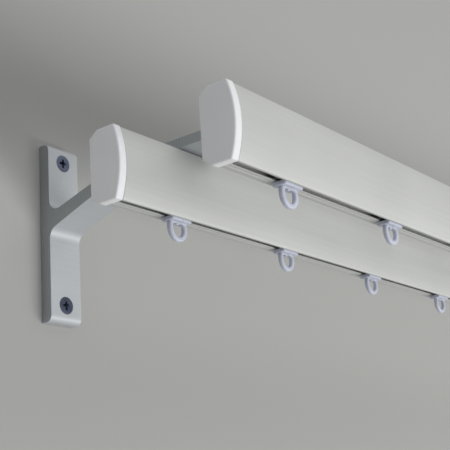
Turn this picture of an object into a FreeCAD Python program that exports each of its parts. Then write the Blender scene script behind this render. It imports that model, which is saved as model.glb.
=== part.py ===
# Double curtain track on two wall brackets.
# Two extruded rails with a bowed front hang one behind the other from cut lengths of a bracket extrusion.
# Plastic end caps close the rails, and moulded gliders with a curtain eye slide in the slot underneath.
# Frame: X runs along the rails, -Y points into the room, +Z is up.
# The origin lies on the wall, in the middle of the four wall screws.
import FreeCAD, Part
import math
import os
import Sketcher
from FreeCAD import Placement, Rotation, Vector

# Driving sizes in millimetres: the name of the cell, its number, and what it measures.
SIZES = [
    ("track_length", 760.0, "outer face of one end cap to outer face of the other"),
    ("section_height", 33.0, "end cap, top to bottom"),
    ("section_depth", 14.2, "end cap, back to the ends of the bowed front"),
    ("fascia_bulge", 3.1, "how far the front bows out past its ends"),
    ("chamfer_depth", 4.5, "back chamfers, front to back"),
    ("chamfer_height", 3.2, "back chamfers, top to bottom"),
    ("cap_thickness", 4.3, "end cap plate, along the rail"),
    ("cap_overhang", 0.3, "cap edge standing proud of the rail all round"),
    ("cap_edge_bevel", 0.5, "bevel of the cap's outer edges"),
    ("spigot_length", 6.0, "plugs of the cap inside the rail"),
    ("spigot_wall", 1.4, "wall of the cap's hollow plug"),
    ("spigot_clearance", 0.15, "gap between a plug and the rail around it"),
    ("rail_wall", 1.2, "walls and webs of the rail"),
    ("underside_recess", 1.3, "runner lips above the bottom of the front wall"),
    ("runner_lip", 1.2, "thickness of the two lips beside the slot"),
    ("slot_centre", 9.1, "middle of the slot from the back of the section"),
    ("slot_width", 3.0, "opening of the slot underneath"),
    ("channel_back", 3.2, "back of the runner channel from the back of the section"),
    ("channel_front", 13.4, "front of the runner channel from the back of the section"),
    ("channel_height", 4.4, "inside height of the runner channel"),
    ("groove_centre", 8.0, "middle of the top groove from the back of the section"),
    ("groove_lip", 1.5, "thickness of the lips of the top groove"),
    ("groove_clearance", 0.2, "gap at each side of the bracket's foot in the groove"),
    ("groove_floor_gap", 0.4, "gap under the bracket's foot"),
    ("bracket_width", 20.0, "length that the bracket is cut to, along the rail"),
    ("bracket_inset", 54.9, "middle of a bracket from the outer face of the nearer cap"),
    ("plate_height", 91.6, "wall plate, top to bottom"),
    ("plate_thickness", 6.5, "wall plate"),
    ("plate_edge_round", 3.5, "front edges at the top and bottom of the wall plate"),
    ("strut_height", 45.6, "underside of the strut at the plate, above the plate's bottom"),
    ("strut_root", 8.5, "thickness of the strut at the plate, measured upright"),
    ("bend_reach", 60.0, "wall to the bend from the strut to the level arm"),
    ("bend_setback", 0.8, "upper corner of that bend, nearer to the wall"),
    ("arm_height", 63.8, "underside of the level arm above the plate's bottom"),
    ("arm_thickness", 5.0, "level arm"),
    ("root_fillet_lower", 6.0, "inside corner under the strut"),
    ("root_fillet_upper", 5.5, "inside corner above the strut"),
    ("bend_fillet", 8.0, "both corners of the bend to the level arm"),
    ("nose_reach", 2.9, "front rail's groove to the end of the arm"),
    ("nose_rim", 0.6, "upright end of the arm above its underside"),
    ("nose_slope", 6.4, "slant from that end back to the arm's top, front to back"),
    ("rear_reach", 87.6, "wall to the rear rail's groove"),
    ("rail_spacing", 59.9, "rear rail to front rail"),
    ("rail_gap", 1.3, "top of the rail to the underside of the arm"),
    ("foot_neck", 4.8, "neck of the bracket's foot, front to back"),
    ("foot_width", 7.0, "foot that hangs in the rail's groove"),
    ("foot_height", 2.0, "thickness of the foot"),
    ("screw_pitch", 74.0, "upper wall screw to lower wall screw"),
    ("screw_from_bottom", 9.0, "lower wall screw above the plate's bottom"),
    ("thread_diameter", 4.5, "wall screw over its thread"),
    ("thread_clearance", 0.25, "gap round the thread as it passes the bracket's hole"),
    ("neck_diameter", 3.2, "smooth neck of the wall screw inside the bracket"),
    ("screw_length", 40.0, "wall screw from its head's face to its point"),
    ("head_diameter", 9.0, "countersunk head"),
    ("cross_width", 1.3, "arms of the cross recess"),
    ("cross_span", 4.6, "cross recess, tip to tip"),
    ("cross_depth", 1.8, "depth of the cross recess"),
    ("setscrew_diameter", 3.0, "screw that locks a foot in the groove"),
    ("setscrew_clearance", 0.05, "gap round the locking screw in the bracket"),
    ("setscrew_length", 6.0, "locking screw"),
    ("hex_across", 1.5, "hexagon socket across its flats"),
    ("hex_depth", 2.0, "depth of the hexagon socket"),
    ("glider_inset", 44.0, "first glider from the outer face of the nearer cap"),
    ("glider_gap", 0.2, "running gap above and below the runner lips"),
    ("head_length", 10.0, "glider's head, along the rail"),
    ("head_width", 6.8, "glider's head, front to back"),
    ("head_height", 3.0, "glider's head, top to bottom"),
    ("stem_length", 6.0, "glider's stem in the slot, along the rail"),
    ("stem_gap", 0.3, "gap at each side of the stem in the slot"),
    ("collar_length", 13.0, "collar under the lips, along the rail"),
    ("collar_width", 6.8, "collar, front to back"),
    ("collar_height", 2.0, "collar, top to bottom"),
    ("eye_width", 12.0, "eye, outside width"),
    ("eye_height", 8.9, "eye below the collar"),
    ("eye_wire", 2.4, "thickness of the eye's ring"),
    ("eye_bridge", 0.4, "depth of the bar under the collar inside the eye"),
    ("eye_corner", 1.4, "slanted inner top corners of the eye"),
]
GLIDERS_PER_RAIL = 9

doc = FreeCAD.newDocument("curtain_track")
sheet = doc.addObject("Spreadsheet::Sheet", "Sizes")


class Size:
    """A length with its number and the formula on the sheet that it comes from."""

    def __init__(self, value, text):
        self.value = value
        self.text = text

    @staticmethod
    def of(thing):
        return thing if isinstance(thing, Size) else Size(float(thing), repr(float(thing)))

    def join(self, other, sign, value):
        return Size(value, f"({self.text} {sign} {Size.of(other).text})")

    def __add__(self, other):
        return self.join(other, "+", self.value + Size.of(other).value)

    def __sub__(self, other):
        return self.join(other, "-", self.value - Size.of(other).value)

    def __mul__(self, other):
        return self.join(other, "*", self.value * Size.of(other).value)

    def __truediv__(self, other):
        return self.join(other, "/", self.value / Size.of(other).value)

    def __neg__(self):
        return Size.of(0) - self


def root(size):
    """Square root of a worked-out value."""
    return Size(math.sqrt(size.value), f"sqrt({size.text})")


size = {}
for row, (name, number, remark) in enumerate(SIZES, start=1):
    sheet.set(f"A{row}", name)
    sheet.set(f"B{row}", str(number))
    sheet.set(f"C{row}", remark)
    sheet.setAlias(f"B{row}", name)
doc.recompute()
for name, number, remark in SIZES:
    size[name] = Size(float(getattr(sheet, name)), f"Sizes.{name}")

# Heights and depths that several pieces share, measured in the frame of the section:
# depth from its back plane towards the room, height from the bottom of the end cap.
section_top = size["section_height"] - size["cap_overhang"]
fascia_radius = (size["section_height"] * size["section_height"] / 4
                 + size["fascia_bulge"] * size["fascia_bulge"]) / (size["fascia_bulge"] * 2)
lip_underside = size["cap_overhang"] + size["underside_recess"]
channel_floor = lip_underside + size["runner_lip"]
channel_roof = channel_floor + size["channel_height"]
groove_roof = section_top - size["groove_lip"]
groove_floor = groove_roof - size["foot_height"] - size["groove_floor_gap"]
chamber_bottom = channel_roof + size["rail_wall"]
chamber_top = groove_floor - size["rail_wall"]
chamber_back = size["cap_overhang"] + size["rail_wall"]

# Heights above the origin and distances from the wall.
plate_bottom = -(size["screw_pitch"] / 2) - size["screw_from_bottom"]
plate_top = plate_bottom + size["plate_height"]
arm_underside = plate_bottom + size["arm_height"]
arm_top = arm_underside + size["arm_thickness"]
section_bottom = arm_underside - size["rail_gap"] - section_top
front_reach = size["rear_reach"] + size["rail_spacing"]
arm_end = front_reach + size["nose_reach"]
rail_length = size["track_length"] - size["cap_thickness"] * 2
cap_face = size["track_length"] / 2
rails = {"rear": size["rear_reach"], "front": front_reach}
sides = {"left": -1, "right": 1}


def bind(item, path, value):
    """Ties one property of an object to its formula on the sheet."""
    item.setExpression(path, Size.of(value).text)


def new_body(label, x, y, z):
    """A named piece with its place in the frame."""
    body = doc.addObject("PartDesign::Body", label)
    body.Label = label
    body.Placement = Placement(Vector(Size.of(x).value, Size.of(y).value, Size.of(z).value), Rotation())
    for axis, value in zip("xyz", (x, y, z)):
        bind(body, f"Placement.Base.{axis}", value)
    return body


def new_sketch(body, name, plane, lift=None, shift=None):
    """A sketch on one of the body's own planes, lifted off it or shifted up in it by a size."""
    sketch = body.newObject("Sketcher::SketchObject", name)
    face = [item for item in body.Origin.OriginFeatures if item.Role == plane][0]
    sketch.AttachmentSupport = (face, [""])
    sketch.MapMode = "FlatFace"
    if lift is not None:
        bind(sketch, "AttachmentOffset.Base.z", lift)
    if shift is not None:
        bind(sketch, "AttachmentOffset.Base.y", shift)
    return sketch


def arc_between(start, end, radius, side):
    """Arc from start to end whose centre lies left (side 1) or right (side -1) of the way there."""
    chord = end - start
    across = Vector(-chord.y, chord.x, 0).normalize()
    rise = math.sqrt(max(radius * radius - chord.Length ** 2 / 4, 0.0))
    centre = (start + end) / 2 + across * rise * side
    first, last = (start, end) if side > 0 else (end, start)
    angles = [math.atan2(point.y - centre.y, point.x - centre.x) for point in (first, last)]
    if angles[1] < angles[0]:
        angles[1] += 2 * math.pi
    return Part.ArcOfCircle(Part.Circle(centre, Vector(0, 0, 1), radius), angles[0], angles[1])


def level_centre(sketch, index, height):
    """Holds the centre of an arc at one height."""
    place = sketch.addConstraint(Sketcher.Constraint("DistanceY", -1, 1, index, 3, height.value))
    sketch.setExpression(f"Constraints[{place}]", height.text)


def outline(sketch, corners, arcs=None):
    """Closed outline: every corner is held by its two distances from the sketch's origin.

    arcs names the sides that are round, by the number of their first corner: (radius, side).
    A half circle is held by its centre, level with its two ends, in place of its radius.
    """
    arcs = arcs or {}
    corners = [(Size.of(x), Size.of(y)) for x, y in corners]
    points = [Vector(x.value, y.value, 0) for x, y in corners]
    count = len(points)
    made = []
    for number in range(count):
        start, end = points[number], points[(number + 1) % count]
        if number in arcs:
            radius, side = arcs[number]
            index = sketch.addGeometry(arc_between(start, end, Size.of(radius).value, side), False)
            made.append((index, 1, 2) if side > 0 else (index, 2, 1))
        else:
            index = sketch.addGeometry(Part.LineSegment(start, end), False)
            made.append((index, 1, 2))
    for number in range(count):
        index, first, last = made[number]
        following, entry, _ = made[(number + 1) % count]
        sketch.addConstraint(Sketcher.Constraint("Coincident", index, last, following, entry))
        for kind, value in zip(("DistanceX", "DistanceY"), corners[number]):
            place = sketch.addConstraint(Sketcher.Constraint(kind, -1, 1, index, first, value.value))
            sketch.setExpression(f"Constraints[{place}]", value.text)
        if number in arcs:
            radius = Size.of(arcs[number][0])
            span = (points[(number + 1) % count] - points[number]).Length
            if abs(span - radius.value * 2) < 1e-9:
                level_centre(sketch, index, corners[number][1])
            else:
                place = sketch.addConstraint(Sketcher.Constraint("Radius", index, radius.value))
                sketch.setExpression(f"Constraints[{place}]", radius.text)


def circle(sketch, x, y, diameter):
    """Circle held by its centre and its diameter."""
    x, y, diameter = Size.of(x), Size.of(y), Size.of(diameter)
    ring = Part.Circle(Vector(x.value, y.value, 0), Vector(0, 0, 1), diameter.value / 2)
    index = sketch.addGeometry(ring, False)
    for kind, value in (("DistanceX", x), ("DistanceY", y)):
        place = sketch.addConstraint(Sketcher.Constraint(kind, -1, 1, index, 3, value.value))
        sketch.setExpression(f"Constraints[{place}]", value.text)
    place = sketch.addConstraint(Sketcher.Constraint("Diameter", index, diameter.value))
    sketch.setExpression(f"Constraints[{place}]", diameter.text)


def rectangle(sketch, left, right, bottom, top):
    """Four-sided outline from its two limits each way."""
    outline(sketch, [(left, bottom), (right, bottom), (right, top), (left, top)])


def feature(body, kind, name, sketch):
    """A PartDesign feature of the body that reads one sketch."""
    made = body.newObject(f"PartDesign::{kind}", name)
    made.Profile = sketch
    return made


def pad(body, name, sketch, length, middle=False, reverse=False):
    """Extrusion of a sketch, to one side or half to each."""
    made = feature(body, "Pad", name, sketch)
    made.SideType = "Symmetric" if middle else "One side"
    made.Reversed = reverse
    bind(made, "Length", length)
    return made


def cut(body, name, sketch, length=None, reverse=False):
    """Pocket of a set depth, or right through both ways; it has to take material away."""
    doc.recompute()
    before = body.Shape.Volume
    made = feature(body, "Pocket", name, sketch)
    if length is None:
        made.SideType = "Symmetric"
        made.Type = "ThroughAll"
    else:
        made.Reversed = reverse
        bind(made, "Length", length)
    doc.recompute()
    if body.Shape.Volume >= before:
        raise RuntimeError(f"{body.Label}: {name} cuts nothing")
    return made


def turn(body, kind, name, sketch):
    """Full turn of a sketch about its own horizontal axis, added or taken away."""
    doc.recompute()
    before = body.Shape.Volume if kind == "Groove" else None
    made = feature(body, kind, name, sketch)
    made.ReferenceAxis = (sketch, ["H_Axis"])
    made.Angle = 360
    doc.recompute()
    if before is not None and body.Shape.Volume >= before:
        raise RuntimeError(f"{body.Label}: {name} cuts nothing")
    return made


def dress_edges(body, kind, name, wanted, value):
    """Fillet or Chamfer on the edges of the last feature that the test picks out."""
    doc.recompute()
    base = body.Tip
    names = [f"Edge{number}" for number, edge in enumerate(base.Shape.Edges, start=1) if wanted(edge)]
    if not names:
        raise RuntimeError(f"{body.Label}: {name} finds no edge")
    made = body.newObject(f"PartDesign::{kind}", name)
    made.Base = (base, names)
    bind(made, "Radius" if kind == "Fillet" else "Size", value)
    return made


def runs_along_x(y, z):
    """Test for a straight edge parallel to X at one place of the profile."""
    def wanted(edge):
        ends = [vertex.Point for vertex in edge.Vertexes]
        return len(ends) == 2 and all(
            abs(end.y - y.value) < 1e-4 and abs(end.z - z.value) < 1e-4 for end in ends)
    return wanted


def at_x(x):
    """Test for an edge that lies wholly in one plane across the rail."""
    return lambda edge: edge.BoundBox.XLength < 1e-6 and abs(edge.BoundBox.XMin - x) < 1e-6


def section_corners(inset):
    """Outline that cap and rail share, drawn in by an inset: the bowed side runs from corner 3 to 4."""
    low, high = inset, size["section_height"] - inset
    back, front = inset, size["section_depth"] - inset
    step_in, step_up = size["chamfer_depth"], size["chamfer_height"]
    return [(-back, low + step_up), (-back, high - step_up), (-(back + step_in), high), (-front, high),
            (-front, low), (-(back + step_in), low)]


def fascia_depth(height, thickness):
    """Depth of the inner face of the bowed wall at a height of the section."""
    middle = size["section_height"] / 2
    drop = (section_top - middle) * (section_top - middle)
    centre = size["section_depth"] - size["cap_overhang"] - root(fascia_radius * fascia_radius - drop)
    inner = fascia_radius - thickness
    away = (height - middle) * (height - middle)
    return centre + root(inner * inner - away)


def make_rail(label, reach):
    """Rail: bowed front, chamfered back, runner channel below, closed chamber, bracket groove on top."""
    body = new_body(label, -(rail_length / 2), size["groove_centre"] - reach, section_bottom)
    sketch = new_sketch(body, "section", "YZ_Plane")
    low_back, high_back, top_back, top_front, bottom_front, _ = section_corners(size["cap_overhang"])
    mouth = size["foot_neck"] / 2 + size["groove_clearance"]
    cavity = size["foot_width"] / 2 + size["groove_clearance"]
    middle = size["groove_centre"]
    slot_back = size["slot_centre"] - size["slot_width"] / 2
    slot_front = size["slot_centre"] + size["slot_width"] / 2
    lip_inner = size["section_depth"] - size["cap_overhang"] - size["rail_wall"]
    heel = size["cap_overhang"] + size["chamfer_depth"] * (
        Size.of(1) - size["underside_recess"] / size["chamfer_height"])
    groove = [(-(middle - mouth), section_top), (-(middle - mouth), groove_roof),
              (-(middle - cavity), groove_roof), (-(middle - cavity), groove_floor),
              (-(middle + cavity), groove_floor), (-(middle + cavity), groove_roof),
              (-(middle + mouth), groove_roof), (-(middle + mouth), section_top)]
    channel = [(-lip_inner, size["cap_overhang"]), (-lip_inner, lip_underside),
               (-slot_front, lip_underside), (-slot_front, channel_floor),
               (-size["channel_front"], channel_floor), (-size["channel_front"], channel_roof),
               (-size["channel_back"], channel_roof), (-size["channel_back"], channel_floor),
               (-slot_back, channel_floor), (-slot_back, lip_underside), (-heel, lip_underside)]
    around = [low_back, high_back, top_back] + groove + [top_front, bottom_front] + channel
    outline(sketch, around, {3 + len(groove): (fascia_radius, 1)})
    chamber = [(-chamber_back, chamber_bottom), (-chamber_back, chamber_top),
               (-fascia_depth(chamber_top, size["rail_wall"]), chamber_top),
               (-fascia_depth(chamber_bottom, size["rail_wall"]), chamber_bottom)]
    outline(sketch, chamber, {2: (fascia_radius - size["rail_wall"], 1)})
    pad(body, "extrusion", sketch, rail_length)
    return body


def make_cap(label, reach, side):
    """End cap: a plate of the full section, a hollow plug for the chamber, a solid one for the channel."""
    body = new_body(label, cap_face * side, size["groove_centre"] - reach, section_bottom)
    outward = side > 0
    inner_face = -(size["cap_thickness"] * side)
    plate = new_sketch(body, "plate_outline", "YZ_Plane", lift=inner_face)
    outline(plate, section_corners(Size.of(0)), {3: (fascia_radius, 1)})
    pad(body, "plate", plate, size["cap_thickness"], reverse=not outward)
    dress_edges(body, "Chamfer", "outer_edges", at_x(0.0), size["cap_edge_bevel"])
    gap = size["spigot_clearance"]
    wall = size["spigot_wall"]
    back = chamber_back + gap
    front = fascia_depth(chamber_top, size["rail_wall"]) - gap
    low = chamber_bottom + gap
    high = chamber_top - gap
    plug = new_sketch(body, "plug_outline", "YZ_Plane", lift=inner_face)
    rectangle(plug, -front, -back, low, high)
    rectangle(plug, -(front - wall), -(back + wall), low + wall, high - wall)
    pad(body, "chamber_plug", plug, size["spigot_length"], reverse=outward)
    stop = new_sketch(body, "stop_outline", "YZ_Plane", lift=inner_face)
    rectangle(stop, -(size["channel_front"] - gap), -(size["channel_back"] + gap),
              channel_floor + gap, channel_roof - gap)
    pad(body, "glider_stop", stop, size["spigot_length"], reverse=outward)
    return body


def screw_hole(body, name, height):
    """Countersunk hole through the wall plate, one millimetre longer than the plate at each side."""
    past = Size.of(1)
    hole = size["thread_diameter"] / 2 + size["thread_clearance"]
    head = size["head_diameter"] / 2
    face = -size["plate_thickness"]
    throat = face + (head - hole)
    sketch = new_sketch(body, name, "YZ_Plane", shift=height)
    outline(sketch, [(past, 0), (past, hole), (throat, hole), (face - past, head + past), (face - past, 0)])
    turn(body, "Groove", f"{name}_cut", sketch)


def make_bracket(label, side):
    """Bracket: wall plate, tapering strut and level arm with two feet, cut from one extrusion."""
    body = new_body(label, (cap_face - size["bracket_inset"]) * side, 0, 0)
    face = size["plate_thickness"]
    strut_low = plate_bottom + size["strut_height"]
    strut_high = strut_low + size["strut_root"]
    bend = size["bend_reach"]
    upper_bend = bend - size["bend_setback"]
    neck = size["foot_neck"] / 2
    foot = size["foot_width"] / 2
    foot_top = arm_underside - size["rail_gap"] - size["groove_lip"]
    foot_bottom = foot_top - size["foot_height"]
    profile = [(0, plate_bottom), (0, plate_top), (-face, plate_top), (-face, strut_high),
               (-upper_bend, arm_top), (-(arm_end - size["nose_slope"]), arm_top),
               (-arm_end, arm_underside + size["nose_rim"]), (-arm_end, arm_underside)]
    for reach in (front_reach, size["rear_reach"]):
        profile += [(-(reach + neck), arm_underside), (-(reach + neck), foot_top),
                    (-(reach + foot), foot_top), (-(reach + foot), foot_bottom),
                    (-(reach - foot), foot_bottom), (-(reach - foot), foot_top),
                    (-(reach - neck), foot_top), (-(reach - neck), arm_underside)]
    profile += [(-bend, arm_underside), (-face, strut_low), (-face, plate_bottom)]
    sketch = new_sketch(body, "profile", "YZ_Plane")
    outline(sketch, profile)
    pad(body, "extrusion", sketch, size["bracket_width"], middle=True)
    corners = [("plate_top_edge", -face, plate_top, size["plate_edge_round"]),
               ("plate_bottom_edge", -face, plate_bottom, size["plate_edge_round"]),
               ("strut_upper_root", -face, strut_high, size["root_fillet_upper"]),
               ("strut_lower_root", -face, strut_low, size["root_fillet_lower"]),
               ("bend_upper", -upper_bend, arm_top, size["bend_fillet"]),
               ("bend_lower", -bend, arm_underside, size["bend_fillet"])]
    for name, y, z, radius in corners:
        dress_edges(body, "Fillet", name, runs_along_x(y, z), radius)
    screw_hole(body, "upper_hole", size["screw_pitch"] / 2)
    screw_hole(body, "lower_hole", -(size["screw_pitch"] / 2))
    taps = new_sketch(body, "locking_holes", "XY_Plane")
    for reach in rails.values():
        circle(taps, 0, -reach, size["setscrew_diameter"] + size["setscrew_clearance"] * 2)
    cut(body, "locking_holes_cut", taps)
    return body


def make_wall_screw(label, side, level):
    """Countersunk wall screw with a cross recess, its shank in the wall."""
    body = new_body(label, (cap_face - size["bracket_inset"]) * side, -size["plate_thickness"],
                    size["screw_pitch"] / 2 * level)
    head = size["head_diameter"] / 2
    neck = size["neck_diameter"] / 2
    thread = size["thread_diameter"] / 2
    wall = size["plate_thickness"]
    end = size["screw_length"]
    sketch = new_sketch(body, "half_section", "YZ_Plane")
    outline(sketch, [(0, 0), (0, head), (head - neck, neck), (wall, neck), (wall, thread), (end, thread),
                     (end, 0)])
    turn(body, "Revolution", "turned_body", sketch)
    arm = size["cross_width"] / 2
    tip = size["cross_span"] / 2
    recess = new_sketch(body, "cross", "XZ_Plane")
    outline(recess, [(arm, arm), (arm, tip), (-arm, tip), (-arm, arm), (-tip, arm), (-tip, -arm),
                     (-arm, -arm), (-arm, -tip), (arm, -tip), (arm, -arm), (tip, -arm), (tip, arm)])
    cut(body, "cross_recess", recess, size["cross_depth"])
    return body


def make_set_screw(label, reach, side):
    """Locking screw: runs down through the arm and its foot, and bears on the groove's floor."""
    body = new_body(label, (cap_face - size["bracket_inset"]) * side, -reach, section_bottom + groove_floor)
    rod = new_sketch(body, "rod", "XY_Plane")
    circle(rod, 0, 0, size["setscrew_diameter"])
    pad(body, "shank", rod, size["setscrew_length"])
    socket = new_sketch(body, "hexagon", "XY_Plane", lift=size["setscrew_length"])
    corner = size["hex_across"] / math.sqrt(3)
    flat = size["hex_across"] / 2
    outline(socket, [(corner, 0), (corner / 2, flat), (-(corner / 2), flat), (-corner, 0),
                     (-(corner / 2), -flat), (corner / 2, -flat)])
    cut(body, "socket", socket, size["hex_depth"])
    return body


def make_glider(label, reach, place):
    """Glider: a head in the channel, a stem in the slot, a collar under the lips and the curtain eye."""
    slot = reach + (size["slot_centre"] - size["groove_centre"])
    body = new_body(label, place, -slot, section_bottom + lip_underside)
    collar_top = -size["glider_gap"]
    collar_bottom = collar_top - size["collar_height"]
    head_bottom = size["runner_lip"] + size["glider_gap"]
    stem_width = size["slot_width"] - size["stem_gap"] * 2

    outer = size["eye_width"] / 2
    inner = outer - size["eye_wire"]
    turn_height = collar_bottom - (size["eye_height"] - outer)
    bar = collar_bottom - size["eye_bridge"]
    corner = size["eye_corner"]
    eye = new_sketch(body, "eye_outline", "XZ_Plane")
    outline(eye, [(-outer, collar_bottom), (-outer, turn_height), (outer, turn_height), (outer, collar_bottom)],
            {1: (outer, 1)})
    outline(eye, [(-inner, bar - corner), (-(inner - corner), bar), (inner - corner, bar),
                  (inner, bar - corner), (inner, turn_height), (-inner, turn_height)],
            {4: (inner, -1)})
    pad(body, "eye", eye, size["eye_wire"], middle=True)

    def block(name, length, width, bottom, height):
        plan = new_sketch(body, f"{name}_plan", "XY_Plane", lift=bottom)
        rectangle(plan, -(length / 2), length / 2, -(width / 2), width / 2)
        pad(body, name, plan, height)

    block("collar", size["collar_length"], size["collar_width"], collar_bottom, size["collar_height"])
    block("stem", size["stem_length"], stem_width, collar_top, head_bottom - collar_top)
    block("head", size["head_length"], size["head_width"], head_bottom, size["head_height"])
    return body


pieces = []
for side_name, side in sides.items():
    pieces.append(make_bracket(f"{side_name}_bracket", side))
    for level_name, level in (("upper", 1), ("lower", -1)):
        pieces.append(make_wall_screw(f"{side_name}_{level_name}_wall_screw", side, level))
for rail_name, reach in rails.items():
    pieces.append(make_rail(f"{rail_name}_rail", reach))
    for side_name, side in sides.items():
        pieces.append(make_cap(f"{rail_name}_{side_name}_end_cap", reach, side))
        pieces.append(make_set_screw(f"{rail_name}_{side_name}_set_screw", reach, side))
glider_spacing = (size["track_length"] - size["glider_inset"] * 2) / (GLIDERS_PER_RAIL - 1)
for rail_name, reach in rails.items():
    for number in range(GLIDERS_PER_RAIL):
        place = glider_spacing * (number - (GLIDERS_PER_RAIL - 1) / 2)
        pieces.append(make_glider(f"{rail_name}_glider_{number + 1}", reach, place))

doc.recompute()
for item in doc.Objects:
    if "Invalid" in item.State or "Error" in item.State:
        raise RuntimeError(f"{item.Label} failed: {item.State}")
os.makedirs("parts", exist_ok=True)
for body in pieces:
    shape = body.Shape
    if shape.isNull() or not shape.isValid() or len(shape.Solids) != 1:
        raise RuntimeError(f"{body.Label} is not one valid solid")
    shape.exportStep(f"parts/{body.Label}.step")
    print(body.Label, round(shape.Volume, 1), "mm3")
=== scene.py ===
# %% [markdown]
# # A double curtain track
# The real thing is a pair of aluminium rails that hang one behind the other from two wall brackets.
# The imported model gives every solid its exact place. This script gives the same pieces their
# rounded edges, their small features and their finishes, and it reads nothing but that model.

# %% Load the frame
import math

import bmesh
import bpy
import numpy as np
from mathutils import Matrix, Vector
from mathutils.geometry import tessellate_polygon


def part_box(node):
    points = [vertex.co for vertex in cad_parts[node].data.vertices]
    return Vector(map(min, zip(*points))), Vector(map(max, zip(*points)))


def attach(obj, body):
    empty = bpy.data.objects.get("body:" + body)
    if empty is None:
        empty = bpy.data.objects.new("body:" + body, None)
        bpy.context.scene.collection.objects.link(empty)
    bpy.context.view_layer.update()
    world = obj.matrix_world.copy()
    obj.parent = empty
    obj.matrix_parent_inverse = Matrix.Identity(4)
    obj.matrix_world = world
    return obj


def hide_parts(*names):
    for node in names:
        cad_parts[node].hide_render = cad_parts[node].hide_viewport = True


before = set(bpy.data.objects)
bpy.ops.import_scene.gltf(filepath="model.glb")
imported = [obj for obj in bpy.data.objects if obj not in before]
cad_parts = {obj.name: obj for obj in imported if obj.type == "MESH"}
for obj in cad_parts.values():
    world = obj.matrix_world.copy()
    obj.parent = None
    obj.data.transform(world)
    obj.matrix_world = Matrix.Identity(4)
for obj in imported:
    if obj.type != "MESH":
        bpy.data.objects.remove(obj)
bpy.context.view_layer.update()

MM = 0.001

# %% [markdown]
# ## Sizes
# The solids were drawn with these sizes, in millimetres. They are written once here, and the place
# of each piece is read from its solid's box, so the dressed pieces and the solids cannot drift
# apart. In the rails' section, depths are counted from its back and heights from the cap's bottom.
# In the bracket, distances are counted from the wall and heights from the bottom of its plate.

# %% Sizes of the section, the brackets and the screws
SECTION_HEIGHT, SECTION_DEPTH, FASCIA_BULGE = 33.0, 14.2, 3.1
CHAMFER_DEPTH, CHAMFER_HEIGHT = 4.5, 3.2
CAP_THICKNESS, CAP_OVERHANG, SPIGOT_LENGTH, SPIGOT_GAP = 4.3, 0.3, 6.0, 0.15
RAIL_WALL, LIP_UNDERSIDE, CHANNEL_FLOOR, CHANNEL_ROOF = 1.2, 1.6, 2.8, 7.2
SLOT_BACK, SLOT_FRONT, CHANNEL_BACK, CHANNEL_FRONT = 7.6, 10.6, 3.2, 13.4
GROOVE_CENTRE, GROOVE_MOUTH, GROOVE_CAVITY, GROOVE_ROOF, GROOVE_FLOOR = 8.0, 2.6, 3.7, 31.2, 28.8
FASCIA_RADIUS = (SECTION_HEIGHT ** 2 / 4 + FASCIA_BULGE ** 2) / (2 * FASCIA_BULGE)
BRACKET_WIDTH, PLATE_THICKNESS, SCREW_PITCH = 20.0, 6.5, 74.0
STRUT_LOW, STRUT_HIGH, BEND_LOW, BEND_HIGH = 45.6, 54.1, 60.0, 59.2
ARM_LOW, ARM_THICKNESS, NOSE_RIM, NOSE_SLOPE = 63.8, 5.0, 0.6, 6.4
FOOT_REACHES, FOOT_NECK_HALF, FOOT_HALF, FOOT_DROP, FOOT_HEIGHT = (87.6, 147.5), 2.4, 3.5, 2.8, 2.0
HEAD_RADIUS, NECK_RADIUS, THREAD_RADIUS, SCREW_LENGTH = 4.5, 1.6, 2.25, 40.0

rails = {}
for rail in ("rear", "front"):
    low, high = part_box(f"{rail}_left_end_cap")
    rails[rail] = {"back": high.y / MM, "bottom": low.z / MM}
rail_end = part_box("rear_left_end_cap")[0].x / MM + CAP_THICKNESS
print("rails", rails, "rail end", round(rail_end, 2), "fascia radius", round(FASCIA_RADIUS, 2))

# %% [markdown]
# ## Turning numbers into meshes
# Each new piece is a grid of points: a function of two parameters, worked out as whole arrays. A
# grid can close on itself one way, as a tube does, or both ways, as a ring does. Blender's mesh
# operators could make the same shapes by hand, but a formula keeps every size visible.

# %% Grids, outlines and meshes
def grid_faces(rows, columns, close_rows=False):
    """Quads between neighbours of a grid; its last column meets its first, and rows too if asked."""
    row = np.arange(rows if close_rows else rows - 1)[:, None]
    column = np.arange(columns)[None, :]
    after_row, after_column = (row + 1) % rows, (column + 1) % columns
    corners = [row * columns + column, row * columns + after_column,
               after_row * columns + after_column, after_row * columns + column]
    quads = np.stack([np.broadcast_to(c, (row.size, column.size)) for c in corners], -1)
    return quads.reshape(-1, 4).tolist()


def lidded_faces(rows, columns):
    """Quads of a tube, and one flat face at each of its ends."""
    lids = [tuple(range(columns))[::-1], tuple(range((rows - 1) * columns, rows * columns))]
    return grid_faces(rows, columns) + lids


def round_corners(corners, steps=5):
    """Outline of a polygon whose corners (x, y, radius) become arcs that touch both their sides."""
    points = []
    count = len(corners)
    for index, (x, y, radius) in enumerate(corners):
        here = np.array([x, y])
        before = np.array(corners[index - 1][:2]) - here
        after = np.array(corners[(index + 1) % count][:2]) - here
        before, after = before / np.linalg.norm(before), after / np.linalg.norm(after)
        half = math.acos(float(np.clip(before @ after, -1, 1))) / 2
        if radius <= 0 or half > math.radians(89.5):
            points.append(here[None])
            continue
        start, end = here + before * radius / math.tan(half), here + after * radius / math.tan(half)
        middle = (before + after) / np.linalg.norm(before + after)
        centre = here + middle * radius / math.sin(half)
        first, last = start - centre, end - centre
        turn = math.atan2(first[0] * last[1] - first[1] * last[0], first @ last)
        angle = np.arctan2(first[1], first[0]) + turn * np.linspace(0, 1, steps + 1)
        points.append(centre + radius * np.stack([np.cos(angle), np.sin(angle)], -1))
    return np.concatenate(points)


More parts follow.
